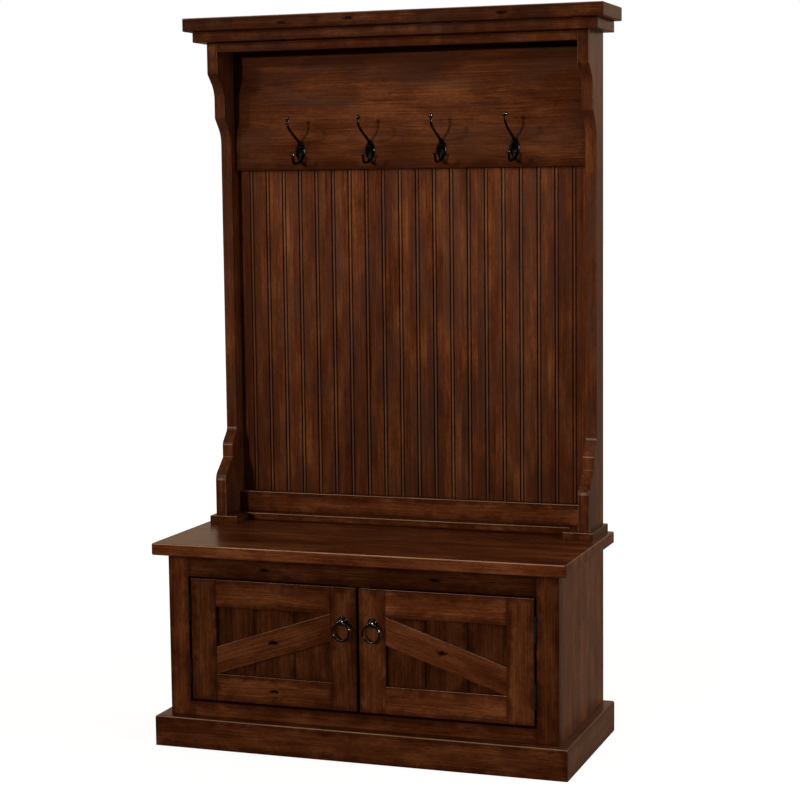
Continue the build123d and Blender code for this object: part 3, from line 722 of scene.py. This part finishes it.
def make_floor():
    """A plain pale floor, larger than anything the camera sees."""
    half = FLOOR_HALF
    mesh = bpy.data.meshes.new("floor")
    mesh.from_pydata([(-half, -half, 0), (half, -half, 0), (half, half, 0), (-half, half, 0)],
                     [], [(0, 1, 2, 3)])
    floor = bpy.data.objects.new("floor", mesh)
    scene.collection.objects.link(floor)
    material, graph, shader = new_material("pale_floor")
    place = graph.add("ShaderNodeTexCoord").outputs["Object"]
    reach = graph.add("ShaderNodeVectorMath", {"operation": "LENGTH"})
    graph.feed(reach.inputs[0], place)
    glow = graph.span(reach.outputs["Value"], *FLOOR_GLOW)
    graph.feed(shader.inputs["Emission Strength"], glow)
    shader.inputs["Base Color"].default_value = (0.30, 0.30, 0.30, 1)
    shader.inputs["Roughness"].default_value = 0.9
    shader.inputs["Specular IOR Level"].default_value = 0.0
    shader.inputs["Emission Color"].default_value = (1, 1, 1, 1)
    mesh.materials.append(material)
    floor.visible_glossy = False
    floor.visible_diffuse = False


def add_lamp(name, data):
    lamp = bpy.data.objects.new(name, data)
    scene.collection.objects.link(lamp)
    return lamp


def softbox(name, azimuth, height, distance, aim_height, size, power):
    """A square area light. azimuth is in degrees from straight in front, right positive."""
    data = bpy.data.lights.new(name, "AREA")
    data.size = size
    data.energy = power
    lamp = add_lamp(name, data)
    turn = math.radians(azimuth)
    lamp.location = (distance * math.sin(turn), -distance * math.cos(turn), height)
    aim = Vector((0, 0, aim_height)) - lamp.location
    lamp.rotation_euler = aim.to_track_quat("-Z", "Y").to_euler()
    return lamp


def far_lamp(name, azimuth, elevation, width, strength):
    """A lamp so far off that its light comes in parallel. All but the strength in degrees."""
    data = bpy.data.lights.new(name, "SUN")
    data.angle = math.radians(width)
    data.energy = strength
    lamp = add_lamp(name, data)
    lamp.rotation_euler = (math.radians(90 - elevation), 0, math.radians(azimuth))
    lamp.visible_glossy = False


def glint(name, azimuth, height, power):
    """A small lamp that is seen only in reflections, for the highlights on the hardware."""
    lamp = softbox(name, azimuth, height, distance=4.0, aim_height=1.0, size=0.35, power=power)
    lamp.visible_diffuse = False


def make_lights():
    """Two far lamps cast the shadows, two soft boxes fill in, and two glints light the iron."""
    far_lamp("front_lamp", azimuth=-15, elevation=5.3, width=2.6, strength=1.25)
    far_lamp("left_lamp", azimuth=-38, elevation=16.3, width=4.8, strength=0.83)
    side = softbox("right_softbox", azimuth=80, height=1.70, distance=3.2, aim_height=0.90,
                   size=2.0, power=36)
    side.visible_glossy = False
    softbox("top_softbox", azimuth=0, height=3.70, distance=1.5, aim_height=0.30, size=1.6,
            power=4)
    glint("left_glint", azimuth=-32, height=3.20, power=15)
    glint("right_glint", azimuth=62, height=1.70, power=30)


ROOM_COLOUR = (1.0, 0.72, 0.50)
ROOM_IN_FRONT = 0.03            # brightness of the room in front of the object
ROOM_BEHIND = 0.52
ROOM_BELOW = 0.36               # brightness below the horizon, as a part of that above


def make_world():
    """White to the camera. Reflections see a warm room, dim in front and bright behind."""
    world = bpy.data.worlds.new("studio")
    scene.world = world
    world.use_nodes = True
    graph = Graph(world.node_tree)
    background = world.node_tree.nodes["Background"]
    seen = graph.add("ShaderNodeLightPath").outputs["Is Camera Ray"]
    direction = graph.add("ShaderNodeTexCoord").outputs["Generated"]
    _, backward, upward = graph.parts(direction)
    room = graph.span(backward, -0.3, 0.4, ROOM_IN_FRONT, ROOM_BEHIND)
    room = graph.math("MULTIPLY", room, graph.span(upward, 0.0, 0.10, ROOM_BELOW, 1.0))
    graph.feed(background.inputs["Strength"], graph.math("MAXIMUM", seen, room))
    colour = graph.mix(seen, (*ROOM_COLOUR, 1), (1, 1, 1, 1))
    graph.feed(background.inputs["Color"], colour)


CAMERA_PLACE = (1.6989, -4.6738, 1.3976)
CAMERA_TURN = 19.48             # degrees to the left of straight ahead
CAMERA_DIP = 6.12               # degrees below level
CAMERA_ROLL = -0.636            # degrees
CAMERA_LENS = 90.05             # millimetres
CAMERA_SENSOR = 36              # millimetres


def make_camera():
    data = bpy.data.cameras.new("camera")
    data.lens = CAMERA_LENS
    data.sensor_width = CAMERA_SENSOR
    camera = bpy.data.objects.new("camera", data)
    scene.collection.objects.link(camera)
    aim = Matrix.Rotation(math.radians(CAMERA_TURN), 4, "Z")
    aim = aim @ Matrix.Rotation(math.radians(90 - CAMERA_DIP), 4, "X")
    aim = aim @ Matrix.Rotation(math.radians(CAMERA_ROLL), 4, "Z")
    camera.matrix_world = Matrix.Translation(CAMERA_PLACE) @ aim
    scene.camera = camera


scene.view_settings.view_transform = "Standard"
make_floor()
make_lights()
make_world()
make_camera()
